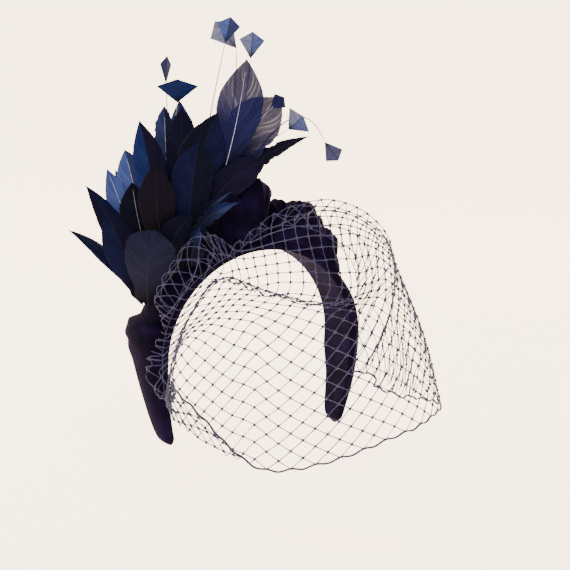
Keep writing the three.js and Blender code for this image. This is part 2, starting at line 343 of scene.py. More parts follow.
def velvet_finish():
    """Silk velvet, near black, whose nap goes violet where it turns away. Its colour holds painted crease
    shade and painted fold highlights, in broad random patches.
    """
    finish = Finish("midnight velvet")
    place = finish.place()
    brushed = finish.noise(place, 55, 3, 0.6)
    nap = finish.noise(place, 2600, 2, 0.7)
    # Painted crease shade and painted fold highlights: the colour goes darker and lighter in broad random
    # patches.
    painted_fold_light_mask = finish.ramp(brushed, 0.42, 0.7)
    velvet_with_painted_folds = finish.mix(painted_fold_light_mask, rgb(3, 1, 11), rgb(12, 5, 34))
    finish.set(base_color=finish.mix(finish.ramp(nap, 0.45, 0.85), velvet_with_painted_folds, rgb(16, 7, 42)))
    finish.set(roughness=0.95, sheen_weight=0.1, sheen_roughness=0.3, sheen_tint=rgb(92, 56, 160))
    finish.set(specular_ior_level=0.04)
    fuzz = finish.math("ADD", nap, finish.math("MULTIPLY", brushed, 1.4))
    finish.bump(fuzz, 0.35, 0.55)
    return finish.material


# How far up a feather its foot lies in shade, how far its barbs slant, and where a sheer one clears: all as
# shares of its length.
SHADED = 0.42
BARB_SLANT = 0.42
CLEARING = (0.52, 0.85)


def feather_finish(name, left, right, opaque=1.0, sunk=SHADED):
    """A dyed vane: fine barbs slant out from the quill, and each side has its own dye. Its colour holds
    painted shade at the foot and between barb locks, and painted highlights along the barbs.
    """
    finish = Finish(name)
    place = finish.add("ShaderNodeSeparateXYZ", {0: finish.add("ShaderNodeTexCoord").outputs["UV"]})
    across, along = place.outputs[0], place.outputs[1]
    from_quill = finish.math("ABSOLUTE", finish.math("SUBTRACT", across, 0.5))
    side = finish.ramp(across, 0.49, 0.51)
    slant = finish.math("SUBTRACT", along, finish.math("MULTIPLY", from_quill, BARB_SLANT))

    def streaks(count, drift, detail):
        lanes = finish.add("ShaderNodeCombineXYZ", {
            0: finish.math("MULTIPLY", slant, count),
            1: finish.math("MULTIPLY", from_quill, drift),
            2: finish.math("MULTIPLY", side, 7.0),
        })
        return finish.noise(lanes.outputs[0], 1, detail, 0.6)

    barbs = streaks(150, 3, 1)
    locks = streaks(26, 2, 2)
    dye = finish.mix(side, rgb(*left), rgb(*right))
    # Painted shade: darker streaks between the locks of barbs, a shaded copy of the dye.
    body = finish.mix(finish.ramp(locks, 0.3, 0.68), finish.tint(dye, 0.55, 1.05), dye)
    # Painted shade: the foot is darker, up to sunk.
    risen = finish.ramp(along, sunk - SHADED, sunk)
    body = finish.mix(risen, finish.tint(body, 0.2, 1.1), body)
    # Painted highlights: lighter streaks along the barbs, a lit copy of the dye, none where the foot is in
    # painted shade.
    painted_barb_highlight = finish.math("MULTIPLY", finish.ramp(barbs, 0.5, 0.8), 0.55)
    body = finish.mix(finish.math("MULTIPLY", painted_barb_highlight, risen), body, finish.tint(dye, 1.5, 0.92))
    finish.set(base_color=body, roughness=0.62, specular_ior_level=0.05)
    if opaque < 1:
        thin = finish.math("ADD", finish.math("MULTIPLY", finish.ramp(locks, 0.45, 0.8), 0.16), 1 - opaque)
        thin = finish.math("MULTIPLY", thin, finish.ramp(along, *CLEARING))
        finish.set(alpha=finish.math("SUBTRACT", 1.0, thin))
    relief = finish.math("ADD", finish.math("MULTIPLY", locks, 2.0), barbs)
    finish.bump(relief, 0.3, 0.6)
    return finish.material


def quill_finish(name, horn):
    """The horn of a quill, a little darker in rings."""
    finish = Finish(name)
    place = finish.place()
    rings = finish.noise(place, 420, 2, 0.5)
    shade = finish.mix(finish.ramp(rings, 0.35, 0.7), rgb(*horn), rgb(*(0.7 * part for part in horn)))
    finish.set(base_color=shade, roughness=0.45, specular_ior_level=0.1)
    finish.bump(rings, 0.06, 0.4)
    return finish.material


def thread_finish():
    """Twisted netting thread."""
    finish = Finish("midnight netting")
    place = finish.place()
    twist = finish.noise(place, 1500, 2, 0.6)
    finish.set(base_color=finish.mix(finish.ramp(twist, 0.35, 0.7), rgb(26, 25, 50), rgb(54, 54, 90)))
    finish.set(roughness=0.55, specular_ior_level=0.15)
    finish.bump(twist, 0.08, 0.5)
    return finish.material


def studio_finish():
    """Pale paper, faintly mottled."""
    finish = Finish("studio paper")
    place = finish.place()
    mottle = finish.noise(place, 6, 3, 0.5)
    finish.set(base_color=finish.mix(mottle, rgb(246, 238, 226), rgb(252, 245, 235)), roughness=0.95)
    finish.set(emission_color=rgb(255, 226, 192), emission_strength=3.6)
    return finish.material


VELVET = velvet_finish()
NETTING = thread_finish()
PALE_QUILL = quill_finish("pale quill", (158, 156, 184))
DARK_QUILL = quill_finish("dark quill", (13, 13, 32))
GREY_QUILL = quill_finish("stripped quill", (132, 122, 124))


# Headband.

HEADBAND_ROUND = 72
HEADBAND_STEPS = 420
ROUNDED_END = 7
CUFF_FOLD = -106
SECOND_FOLD = -113


def band_relief(along, back, width):
    """How far the velvet stands up or sinks in, in millimetres, from its folds and soft dents."""
    rise = 0.5 * noise.noise(Vector((along * 0.03, back * 0.06, 1.7)))
    rise += 0.25 * noise.noise(Vector((along * 0.09, back * 0.14, 5.2)))
    from_cuff = along - CUFF_FOLD + 0.22 * (back - width / 2)
    rise -= 1.5 * bump_at(from_cuff, 0, 2.4)
    rise += 0.8 * bump_at(from_cuff, 5.5, 3)
    from_second = along - SECOND_FOLD - 0.18 * (back - width / 2)
    rise -= 0.7 * bump_at(from_second, 0, 3) * smooth_step(0.2, 0.7, back / width)
    return rise


def headband():
    def place(u, v):
        along = HALF_BAND * (2 * v - 1)
        from_end = HALF_BAND - abs(along)
        taper = math.sqrt(1 - (1 - clamp(from_end / ROUNDED_END, 0, 1)) ** 2)
        width, pad = width_at(along), pad_at(along)
        turn = 2 * math.pi * u
        back = width / 2 - width / 2 * math.cos(turn) * taper
        if turn <= math.pi:
            rise = max(math.sin(turn), 0) ** CROWNING
            up = pad * rise + band_relief(along, back, width) * rise**2
            up = lerp(pad / 2, up, taper)
        else:
            up = lerp(pad / 2, 0, taper)
        return on_band(along, back, up)

    piece = grid_piece("velvet_headband", HEADBAND_ROUND, HEADBAND_STEPS, place)
    edit_all(piece, weld, face_outward)
    smooth(piece)
    piece.data.materials.append(VELVET)
    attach(piece, "root")
    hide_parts("headband")


# Velvet folds on the crown. turn: degrees round the crown. lift: height of the top fold. fold: how far
# back of the middle it lies. pleat: how far the front stands out.

SEAT = 0.8
CLOTH = 1.4
CREASED = 0.8
IN_FROM_EDGE = 1.5
DRAPE_ROUND = 80
DRAPE_STEPS = 120
DRAPE_TOP = table(
    "turn lift fold pleat",
    (-24, 12, -2, 0),
    (-20, 17, -2, 0),
    (-16, 31, -4, 2),
    (-12, 40, -5, 5),
    (-7, 43, -1, 1),
    (-2, 47, -5, 6),
    (1.5, 50, -2, 1),
    (5, 43, -4, 4),
    (7.4, 37, -1, 0),
)
DRAPE_SIDE = table(
    "turn lift fold pleat",
    (5.5, 27, 2, 0),
    (8.5, 33, 2, 0),
    (15, 34, -1, 3),
    (23, 37, -3, 5),
    (29, 31, 0, 0),
    (35, 27, -2, 4),
    (41, 25, -4, 5),
    (45, 17, -1, 0),
    (50, 14, -1, 0),
)


def straight(rows, key, column, at):
    """One column of a table at a place between its rows, on a straight line from row to row."""
    i = 0
    while i < len(rows) - 2 and at > rows[i + 1][key]:
        i += 1
    share = clamp((at - rows[i][key]) / (rows[i + 1][key] - rows[i][key]), 0, 1)
    return lerp(rows[i][column], rows[i + 1][column], share)


def pleated(value):
    """A row of sharp folds, from 0 in a crease to 1 on a fold, one to each whole number."""
    return 1 - abs(2 * (value - math.floor(value)) - 1)


def crumple(turn, around, seed):
    """Creases of folded velvet, in millimetres."""
    drift = 0.5 * noise.noise(Vector((turn * 0.12, around * 0.8, seed)))
    long_folds = pleated(turn * 0.17 + 0.35 * around + drift) ** 1.3
    cross_folds = pleated(turn * 0.09 - 0.8 * around + 2 * drift + 0.3 * seed)
    fine = noise.noise(Vector((turn * 0.6 - around * 1.6, around * 2.3, seed + 9)))
    return 4.4 * long_folds + 2.6 * cross_folds + 0.3 * fine - 3


# How straight the folds run from row to row: 0 is a soft curve, and 1 a straight line.
CRISP = 0.9


def drape(name, node, rows, seed, slant):
    """A fold of velvet. slant: how far its end leans."""
    first, last = rows[0]["turn"], rows[-1]["turn"]

    def folded(column, turn):
        soft = between(rows, "turn", column, turn)
        return lerp(soft, straight(rows, "turn", column, turn), CRISP)

    def place(u, v):
        turn = lerp(first, last, v)
        angle = math.pi * u
        lift, fold, pleat = (folded(column, turn) for column in ("lift", "fold", "pleat"))
        along = along_of(turn - slant * max(math.cos(angle), 0) * v**3)
        half = width_at(along) / 2
        rise = max(math.sin(angle), 0)
        stand = pleat * rise**2 if math.cos(angle) > 0 else 0
        ease = rise * (1 - 0.7 * abs(2 * v - 1) ** 8)
        crease = CREASED * crumple(turn, angle, seed) * ease
        back = half - (half - IN_FROM_EDGE + stand + crease) * math.cos(angle) + fold * rise**3
        top = band_top(along, back)
        up = top + SEAT + (lift - pad_at(along)) * rise**0.8 + crease * rise
        return on_band(along, back, up)

    piece = grid_piece(name, DRAPE_ROUND, DRAPE_STEPS, place)
    edit_all(piece, face_outward)
    thicken(piece, CLOTH, offset=-1)
    smooth(piece)
    piece.data.materials.append(VELVET)
    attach(piece, "root")
    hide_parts(node)


# Feathers. turn, set: where the quill is sewn on, in degrees round the crown and back from its middle.
# across, up, toward: the tip. width: of the blade. sweep, arch: how far the middle bows to the side and
# outward. roll: degrees the blade turns about its quill. stem: bare share of the length. full: where the
# blade is widest, as a share of it. point: how blunt the tip is.

QUILL_RADIUS = 0.7
QUILL_SEAT = 1.0
HALFWAY = 0.5
CUP = 0.16
BLADE = 0.36
BLADE_ACROSS = 26
BLADE_STEPS = 72
LEAST_HALF = 0.25
SPINE_REACH = 0.985
SPINE_TIP = 0.22
FEATHERS = table(
    "turn set across up toward width sweep arch roll stem full point",
    (-66, 13, -135, 12, 0, 11, 6, 2, 20, 0.1, 0.5, 1.6),
    (-67, 8, -110, 0, 14, 10, 3, 3, 10, 0.1, 0.45, 1.6),
    (-64, 14, -122, 44, 4, 18, 5, 3, 12, 0.15, 0.55, 1.6),
    (-66, 6, -106, 27, 26, 27, 1, 6, 6, 0.1, 0.5, 1.8),
    (-58, 15, -108, 57, -10, 21, 1, 3, 8, 0.25, 0.55, 1.8),
    (-52, 15, -96, 72, -22, 23, 0, 3, -8, 0.3, 0.68, 2),
    (-47, 10, -83, 91, 6, 25, 2, 5, -6, 0.3, 0.55, 1.7),
    (-43, 15, -66, 103, -10, 18, 0, 4, 8, 0.4, 0.6, 2.6),
    (-38, 16, -56, 109, -28, 22, 2, 4, -12, 0.35, 0.6, 2),
    (-33, 4, -26, 96, 14, 34, -7, 5, -6, 0.25, 0.55, 1.8),
    (-37, -5, -38, 74, 29, 30, -3, 5, 4, 0.15, 0.6, 2.2),
    (-49, -4, -69, 58, 36, 27, -3, 6, -6, 0.15, 0.6, 2),
    (-56, 3, -88, 46, 10, 26, -2, 2, 6, 0.2, 0.6, 2),
    (-29, 7, -5, 135, 9, 34, 5, 6, -4, 0.4, 0.6, 1.8),
    (-27, 9, 21, 108, 0, 38, -12, 5, 6, 0.25, 0.65, 2.4),
    (-25, 11, 40, 81, -10, 12, -15, 4, 10, 0.4, 0.5, 1.4),
    (-31, -2, 9, 61, 23, 23, -13, 3, -6, 0.2, 0.65, 2.6),
    (-38, -13, -10, 30, 42, 12, -12, 4, -15, 0.2, 0.55, 1.6),
    (-47, -13, -42, 21, 43, 20, -10, 7, 8, 0.1, 0.6, 2),
    (-66, -1, -67, 10, 57, 36, -3, 9, 0, 0.08, 0.65, 3.2),
    (-40, 10, -53, 101, -2, 24, 2, 5, 4, 0.3, 0.6, 2.2),
    (-54, 17, -104, 58, -30, 13, 1, 3, 0, 0.4, 0.5, 1.6),
    (-33, -8, -15, 38, 38, 7, -10, 4, 0, 0.3, 0.5, 1.4),
    (-41, -15, -37, 13, 50, 10, -2, 3, 0, 0.15, 0.5, 1.8),
)

# The dye of each feather, left and right of its quill, then how frayed its edge is and its quill.
NAVY, INK, PLUM = (4, 6, 40), (1, 2, 21), (6, 3, 29)
SKY, STEEL, DENIM = (58, 72, 126), (34, 42, 80), (14, 25, 70)
SLATE, ASH, UMBER = (14, 16, 39), (62, 64, 96), (7, 3, 17)
MIST, HAZE, DUSK = (96, 102, 134), (66, 76, 124), (21, 23, 64)
DYES = [
    (NAVY, SLATE, 0.1, DARK_QUILL),
    (SLATE, ASH, 0.1, DARK_QUILL),
    (PLUM, NAVY, 0.1, DARK_QUILL),
    (NAVY, PLUM, 0.1, DARK_QUILL),
    (SKY, SKY, 0.1, PALE_QUILL),
    (SKY, STEEL, 0.1, PALE_QUILL),
    (DENIM, PLUM, 0.1, DARK_QUILL),
    (STEEL, SLATE, 0.5, PALE_QUILL),
    (STEEL, DENIM, 0.2, PALE_QUILL),
    (INK, NAVY, 0.2, DARK_QUILL),
    (NAVY, INK, 0.1, DARK_QUILL),
    (UMBER, UMBER, 0.1, DARK_QUILL),
    (INK, INK, 0.1, GREY_QUILL),
    (DUSK, DUSK, 0.1, PALE_QUILL),
    (DUSK, DUSK, 0.2, PALE_QUILL),
    (INK, INK, 1.0, DARK_QUILL),
    (PLUM, PLUM, 0.3, DARK_QUILL),
    (DENIM, STEEL, 1.0, DARK_QUILL),
    (INK, INK, 0.1, DARK_QUILL),
    (SLATE, SLATE, 0.1, DARK_QUILL),
    (PLUM, PLUM, 0.3, DARK_QUILL),
    (SLATE, STEEL, 0.1, PALE_QUILL),
    (NAVY, STEEL, 0.4, DARK_QUILL),
    (NAVY, DENIM, 0.8, DARK_QUILL),
]


def quill_line(row):
    """The line of a quill, from where it's sewn on the velvet to its end: its place and its way there."""
    along = along_of(row["turn"])
    back = row["set"] + width_at(along) / 2
    foot = on_band(along, back, band_top(along, back) + QUILL_SEAT)
    end = in_spray(row["across"], row["up"], row["toward"])
    side = (end - foot).cross(TOWARD).normalized()
    middle = foot.lerp(end, row.get("bow", HALFWAY))
    middle += side * (2 * row["sweep"] * MM) + TOWARD * (2 * row["arch"] * MM)

    def at(t):
        place = foot * (1 - t) ** 2 + middle * (2 * t * (1 - t)) + end * t**2
        way = (middle - foot) * (1 - t) + (end - middle) * t
        return place, way.normalized()

    return at


def blade_axes(way, roll):
    """The two directions across a blade: to its side, and out of its face."""
    side = Matrix.Rotation(math.radians(roll), 3, way) @ way.cross(TOWARD).normalized()
    return side, side.cross(way)


def leaf(share, row):
    """Half width of a leaf-cut blade, as a share of its fullest."""
    if share <= 0:
        return 0
    if share < row["full"]:
        return math.sin(math.pi / 2 * share / row["full"]) ** 0.9
    return 1 - ((share - row["full"]) / (1 - row["full"])) ** row["point"]


# Feathers that differ, by number. SHEER: how opaque the tip is. SUNK: how far up the foot lies in shade, as
# a share of the length. FULL_DOWN: how full the down at the foot is, as a share of the blade, and DOWN is
# that of the rest. BARE: those stripped of it.
SHEER = {14: 0.89, 15: 0.87}
SUNK = {12: 0.6, 13: 0.6, 14: 0.75, 15: 0.85, 18: 0.95, 23: 1.0, 24: 0.85}
DOWN = 0.5
FULL_DOWN = {11: 0.8, 12: 0.9, 17: 0.9, 18: 1.3, 19: 1.1, 24: 1.8}
BARE = (8, 16)


def feather(number, row, dye):
    left, right, fray, horn = dye
    opaque, sunk = SHEER.get(number, 1.0), SUNK.get(number, SHADED)
    name = f"feather_{number:02d}"
    line = quill_line(row)
    stem = row["stem"]
    root = stem if number in BARE else min(stem, 0.05)
    down = FULL_DOWN.get(number, DOWN)
    seed = number * 3.7

    def edge(share, side):
        """Barbs part at the edge: small nicks everywhere, and deep splits where it's frayed."""
        nick = noise.noise(Vector((share * 46, side * 5, seed)))
        split = noise.noise(Vector((share * 13, side * 9, seed + 30)))
        return 1 - (0.03 + 0.1 * fray) * abs(nick) - fray * 0.95 * max(split - 0.08, 0)

    def place(u, v):
        t = root + (1 - root) * v
        share = clamp((t - stem) / (1 - stem), 0, 1)
        point, way = line(t)
        side, face = blade_axes(way, row["roll"])
        reach = 2 * u - 1
        fullness = leaf(share, row)
        fullness = max(fullness, down * smooth_step(0, 0.15, t) * (1 - smooth_step(0.3, 0.65, t)))
        half = row["width"] / 2 * fullness * edge(v, math.copysign(1, reach))
        half = max(half, LEAST_HALF)
        droop = CUP * fullness * half * reach**2
        ripple = 0.35 * reach * noise.noise(Vector((share * 5, reach * 1.5, seed + 60))) * fullness
        lean = 0.1 * half * abs(reach) * math.sin(math.pi * share)
        return point + (side * (half * reach) + face * (ripple - droop) + way * lean) * MM

    blade = grid_piece(name, BLADE_ACROSS, BLADE_STEPS, place)
    thicken(blade, BLADE)
    smooth(blade)
    blade.data.materials.append(feather_finish(name.replace("_", " "), left, right, opaque, sunk))

    def spine(t):
        point, way = line(t * SPINE_REACH)
        return point, *blade_axes(way, row["roll"])

    quill = tube(name + "_quill", spine, lambda t: lerp(0.8 * QUILL_RADIUS, SPINE_TIP, t**0.5))
    quill.data.materials.append(horn)
    piece = joined(f"plume_{number:02d}", [blade, quill])
    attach(piece, "root")
    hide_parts(name)


# Stripped quills with kite-cut tips. turn, set: as for the feathers. across, up, toward: the kite's corner
# on the quill. run, rise, depth: from there to its far corner. width, roll: of the kite. sweep, arch: bow
# of the quill. bow: where the bow's handle lies, as a share of the way from foot to corner.

KITE_WIDEST = 0.7
KITE_BLADE = 0.4
KITE_ACROSS = 16
KITE_STEPS = 40
KITE_LEAST_HALF = 0.2
KITE_FOLD = 0.1
STEM_STEPS = 36
STEM_TIP = 0.3
RIB_FOOT = 0.32
RIB_TIP = 0.24
RIB_REACH = 0.97
QUILLS = table(
    "turn set across up toward run rise depth width sweep arch roll bow",
    (-29, 16, -13, 146, -14, -16, 19.5, 3, 21, 8, 6, 0, 0.5),
    (-32, 10, -21, 149, -4, 4, 18.5, 2, 17, -2, 5, 5, 0.5),
    (-26, 16, -3, 140, -26, 1.5, 20.5, -2, 19, 6, 4, 0, 0.5),
    (-46, 16, -66, 122, -28, 1, 20, 2, 17, 2, 4, 66, 0.5),
    (-40, 16, -57, 107, -22, 0, 17, 3, 31, -3, 2, 0, 0.5),
    (-22, 12, 25, 87, -20, 11, 9, 8, 23, -12, 5, 0, 0.5),
    (-21, 18, 52, 78, -24, 10, -14, 2, 15, -31, -4, 0, 1.2),
    (-23, 6, 12, 101, -4, 10, 8, 1, 13, -12, 1, 0, 0.5),
)
KITE_DYES = [
    (MIST, MIST),
    (SKY, STEEL),
    (MIST, HAZE),
    (DENIM, DENIM),
    (DENIM, DENIM),
    (MIST, HAZE),
    (ASH, ASH),
    (STEEL, STEEL),
]


def kite_quill(number, row, dye):
    name = f"kite_quill_{number}"
    line = quill_line(row)
    corner = in_spray(row["across"], row["up"], row["toward"])
    kite = in_spray(row["run"], row["rise"], row["depth"])
    side, face = blade_axes(kite.normalized(), row["roll"])

    def place(u, v):
        reach = 2 * u - 1
        half = row["width"] / 2 * (v / KITE_WIDEST if v < KITE_WIDEST else (1 - v) / (1 - KITE_WIDEST))
        half = max(half, KITE_LEAST_HALF)
        fold = KITE_FOLD * half * abs(reach)
        return corner + kite * v + (side * reach * half - face * fold) * MM

    blade = grid_piece(name, KITE_ACROSS, KITE_STEPS, place)
    thicken(blade, KITE_BLADE)
    smooth(blade)
    blade.data.materials.append(feather_finish(name.replace("_", " "), *dye))

    def stem(t):
        point, way = line(t)
        return point, *blade_axes(way, 0)

    def rib(t):
        return corner + kite * (t * RIB_REACH), side, face

    quill = tube(name + "_stem", stem, lambda t: lerp(QUILL_RADIUS, STEM_TIP, t), STEM_STEPS)
    quill.data.materials.append(GREY_QUILL)
    middle = tube(name + "_rib", rib, lambda t: lerp(RIB_FOOT, RIB_TIP, t))
    middle.data.materials.append(DARK_QUILL)
    piece = joined(f"kite_plume_{number}", [blade, quill, middle])
    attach(piece, "root")
    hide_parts(name)


# Cage veil, in gores round the face. share: how far round a gore is, 0 at the wearer's right and 1 at the
# left. along: where its gathered edge is sewn on, over the crown. seam, proud: how high that is over the
# headband's inner face, and how far before its front. crest, crestOut: the top of the puff, likewise.
# fall, fallOut: the hollow under the crest, likewise. facing: degrees round the face from the wearer's
# right. bend, bendUp, hem, hemUp: the bend above the face and the hem, as radius and height.

VEIL = table(
    "share along seam proud crest crestOut fall fallOut facing bend bendUp hem hemUp",
    (0, -142, 4, 1, 10, 6, 5, 10, 12, 84, -98, 84, -106),
    (0.1, -122, 5, 1, 22, 9, 3, 12, 19, 94, -76, 93, -107),
    (0.2, -94, 6, 1, 14, 8, 2, 12, 34, 108, -50, 107, -112),
    (0.25, -79, 6, 1, 30, 10, 2, 13, 43, 115, -42, 115, -116),
    (0.3, -60, 5, 1, 33, 11, 3, 14, 52, 121, -36, 125, -122),
    (0.35, -42, 4, 1, 35, 11, 5, 17, 64, 127, -30, 137, -126),
    (0.4, -27, 4, 1, 13, 8, 8, 22, 78, 131, -24, 149, -119),
    (0.5, 4, 18, 6, 30, 12, 26, 36, 100, 120, -14, 153, -105),
    (0.6, 34, 20, 7, 46, 12, 38, 33, 117, 107, -4, 145, -101),
    (0.7, 62, 18, 6, 52, 10, 42, 28, 132, 102, -10, 134, -104),
    (0.8, 90, 10, 2, 40, 8, 30, 22, 146, 97, -34, 117, -108),
    (0.9, 116, 6, 1, 22, 8, 16, 18, 158, 92, -66, 102, -112),
    (1, 142, 4, 1, 10, 5, 10, 9, 168, 84, -98, 86, -108),
)

# How round the top of the puff is: how far its back and front stand from its crest.
PUFF_ROLL = table(
    "share roll",
    (0, 3),
    (0.1, 7),
    (0.2, 4),
    (0.25, 8),
    (0.35, 9),
    (0.4, 4),
    (0.5, 8),
    (0.8, 7),
    (1, 3),
)
ROLL_DROP = 0.7
FACE_AXIS_Y = -12
BULGE = 4
GORE_STEPS = 200
EASINGS = 40
INWARD_DROP = 20

# HALF_CELL, HALF_ROW: half a diamond's width and height. NET_FINE: in how many steps a strand crosses that.
HALF_CELL = 8.6
HALF_ROW = 5.9
NET_FINE = 3
THREAD = 0.32
HEM_THREAD = 0.75
SEAM_THREAD = 0.3
KNOT = 1.1
SCALLOP = 1.6

# Where the netting is tucked in, round the face. place: from the hollow under the puff, 0, to the bend, 1.
# depth: how far it's drawn in there, as a share of the deepest.
TUCK = table(
    "share place depth",
    (0, 0, 0),
    (0.06, 0, 0.3),
    (0.2, 0, 0.9),
    (0.3, -0.04, 1),
    (0.34, 0.12, 1),
    (0.37, 0.6, 1),
    (0.4, 0.86, 1),
    (0.45, 1, 1),
    (0.5, 1.02, 0.7),
    (0.57, 1, 0),
    (1, 1, 0),
)
FALL_PLACE = 4

# The shape of the tuck, along a gore line from its fold, more than 0 above it. DEPTH: how far the net is
# drawn in. ROLL: how far it rolls out on either side. HANG, LIFT: how far it hangs down over the fold, and
# is let up again under it. GATHER: how much closer its rows are there.
TUCK_DEPTH = 4.5
TUCK_REACH = 6
TUCK_ROLL = 2.5
ROLL_OFF = 9
TUCK_HANG = 6
HANG_OFF = 8
TUCK_LIFT = 2.4
LIFT_OFF = -3
LIFT_REACH = 5
TUCK_GATHER = 1.3
GATHER_OFF = -1
GATHER_REACH = 9

# Where the rows stand further apart: above the tuck, by how far along the net from it, and at the wearer's
# right, by share. SIDE_FULLNESS: how much closer the columns stand there.
PUFF_SLACK = 0.3
PUFF_ABOVE = (8, 22)
SIDE_SLACK = 0.4
SLACK_SIDE = (0.08, 0.22)
SIDE_FULLNESS = 0.2
FULL_SIDE = (0.06, 0.22)

# The half row in which a short column meets the seam, so that the net's rows stay level at its sides.
LEVEL_ROWS = 25

# Where the border is turned back inside, at the wearer's right. rows: how many half rows lie behind the
# fold. height: how far up inside its edge comes.
TURNED = table(
    "share rows height",
    (0, 8, 25),
    (0.1, 7.3, 26),
    (0.2, 5.6, 22),
    (0.25, 4, 15),
    (0.3, 2, 7),
    (0.34, 0, 0),
    (1, 0, 0),
)
TURNED_IN = 4


def through(points, t):
    """A point on the smooth curve through some points, in even turns of t from 0 to 1."""
    last = len(points) - 1
    place = clamp(t, 0, 1) * last
    i = min(int(place), last - 1)
    share = place - i
    before = points[i - 1] if i > 0 else points[0] * 2 - points[1]
    after = points[i + 2] if i + 2 <= last else points[last] * 2 - points[last - 1]
    a, b = points[i], points[i + 1]
    step_before = max((a - before).length, TINY) ** 0.5
    step = max((b - a).length, TINY) ** 0.5
    step_after = max((after - b).length, TINY) ** 0.5
    m = (a - before) / step_before - (b - before) / (step_before + step) + (b - a) / step
    n = (b - a) / step - (after - a) / (step + step_after) + (after - b) / step_after
    m *= step
    n *= step
    return a + share * (m + share * (3 * (b - a) - 2 * m - n + share * (m + n - 2 * (b - a))))


def gore_line(share):
    """One gore line of the veil, from its seam to the hem."""
    value = {column: between(VEIL, "share", column, share) for column in VEIL[0]}
    facing = math.radians(value["facing"])

    def before(up, out):
        return on_band(value["along"], -out, up)

    def round_face(out, z):
        return Vector((-out * math.cos(facing), FACE_AXIS_Y - out * math.sin(facing), z)) * MM

    roll = between(PUFF_ROLL, "share", "roll", share)
    shoulder = value["crest"] - ROLL_DROP * roll
    middle_out = (value["bend"] + value["hem"]) / 2 + BULGE
    middle_up = (value["bendUp"] + value["hemUp"]) / 2
    return [
        before(value["seam"], value["proud"]),
        before(shoulder, value["crestOut"] - roll),
        before(value["crest"], value["crestOut"]),
        before(shoulder, value["crestOut"] + roll),
        before(value["fall"], value["fallOut"]),
        round_face(value["bend"], value["bendUp"]),
        round_face(middle_out, middle_up),
        round_face(value["hem"], value["hemUp"]),
    ]


def softened(points):
    """A line with its sharp turns eased, its ends kept."""
    for _ in range(EASINGS):
        inner = [(a + b * 2 + c) / 4 for a, b, c in zip(points, points[1:], points[2:])]
        points = [points[0], *inner, points[-1]]
    return points


def lengths(points):
    """How far along a line each of its points lies, in millimetres."""
    run = [0]
    for a, b in zip(points, points[1:]):
        run.append(run[-1] + (b - a).length / MM)
    return run


def at_measures(points, measure, wanted):
    """Points on a line where a measure that grows along it reaches each wanted value."""
    found = []
    k = 0
    for want in wanted:
        while k < len(points) - 2 and measure[k + 1] < want:
            k += 1
        share = (want - measure[k]) / (measure[k + 1] - measure[k])
        found.append(points[k].lerp(points[k + 1], clamp(share, 0, 1)))
    return found


def inward(point):
    """The way from a place on the net to the middle of the face, a little downward."""
    return (Vector((0, FACE_AXIS_Y * MM, point.z - INWARD_DROP * MM)) - point).normalized()


def tucked(line, run, fold, depth):
    """A gore line drawn in at its fold, rolled out on either side of it and hanging over it."""
    places = []
    for point, at in zip(line, run):
        off = at - fold
        rolls = bump_at(off, -ROLL_OFF, TUCK_REACH) + bump_at(off, ROLL_OFF, TUCK_REACH)
        drawn = TUCK_DEPTH * bump_at(off, 0, TUCK_REACH) - TUCK_ROLL * rolls
        hang = TUCK_HANG * bump_at(off, HANG_OFF, TUCK_REACH)
        hang -= TUCK_LIFT * bump_at(off, LIFT_OFF, LIFT_REACH)
        places.append(point + inward(point) * (depth * drawn * MM) - Vector((0, 0, depth * hang * MM)))
    return places


def row_measure(run, fold, depth, share):
    """How many half rows up from the fold at the hem each place on a gore line is."""
    slack = depth * PUFF_SLACK + SIDE_SLACK * (1 - smooth_step(*SLACK_SIDE, share))
    rows = [0]
    for here, there in zip(run, run[1:]):
        off = here - fold
        gathered = 1 + depth * TUCK_GATHER * bump_at(off, GATHER_OFF, GATHER_REACH)
        gathered -= slack * smooth_step(*PUFF_ABOVE, off)
        rows.append(rows[-1] + gathered * (there - here) / HALF_ROW)
    return rows


def turned_back(line, run, behind, turned, height):
    """Places on the border that's turned back inside, and None for those that the net doesn't reach."""
    places = []
    for k in range(math.ceil(behind * NET_FINE)):
        back = behind - k / NET_FINE
        if back > turned:
            places.append(None)
        else:
            point = at_measures(line, run, [height * back / turned])[0]
            places.append(point + inward(point) * (TURNED_IN * MM * math.sqrt(back / turned)))
    return places


def net_column(share):
    """Places up one gore line, a third of a half row apart, from the net's border to the seam."""
    points = gore_line(share)
    tuck, depth = (between(TUCK, "share", column, share) for column in ("place", "depth"))
    turned, height = (between(TURNED, "share", column, share) for column in ("rows", "height"))
    line = softened([through(points, 1 - k / GORE_STEPS) for k in range(GORE_STEPS + 1)])
    run = lengths(line)
    spot = GORE_STEPS * (1 - (FALL_PLACE + tuck) / (len(points) - 1))
    fold = lerp(run[int(spot)], run[int(spot) + 1], spot % 1)
    line = tucked(line, run, fold, depth)
    run = lengths(line)
    rows = row_measure(run, fold, depth, share)
    behind = max(turned, LEVEL_ROWS - rows[-1])
    rows = [behind + row for row in rows]
    reach = rows[-1] * NET_FINE
    places = turned_back(line, run, behind, turned, height)
    places += at_measures(line, rows, [k / NET_FINE for k in range(len(places), int(reach) + 1)])
    return {"places": places, "reach": reach, "seam": line[-1]}


def border(column):
    """The first place on a column that the net reaches."""
    return next(place for place in column["places"] if place is not None)


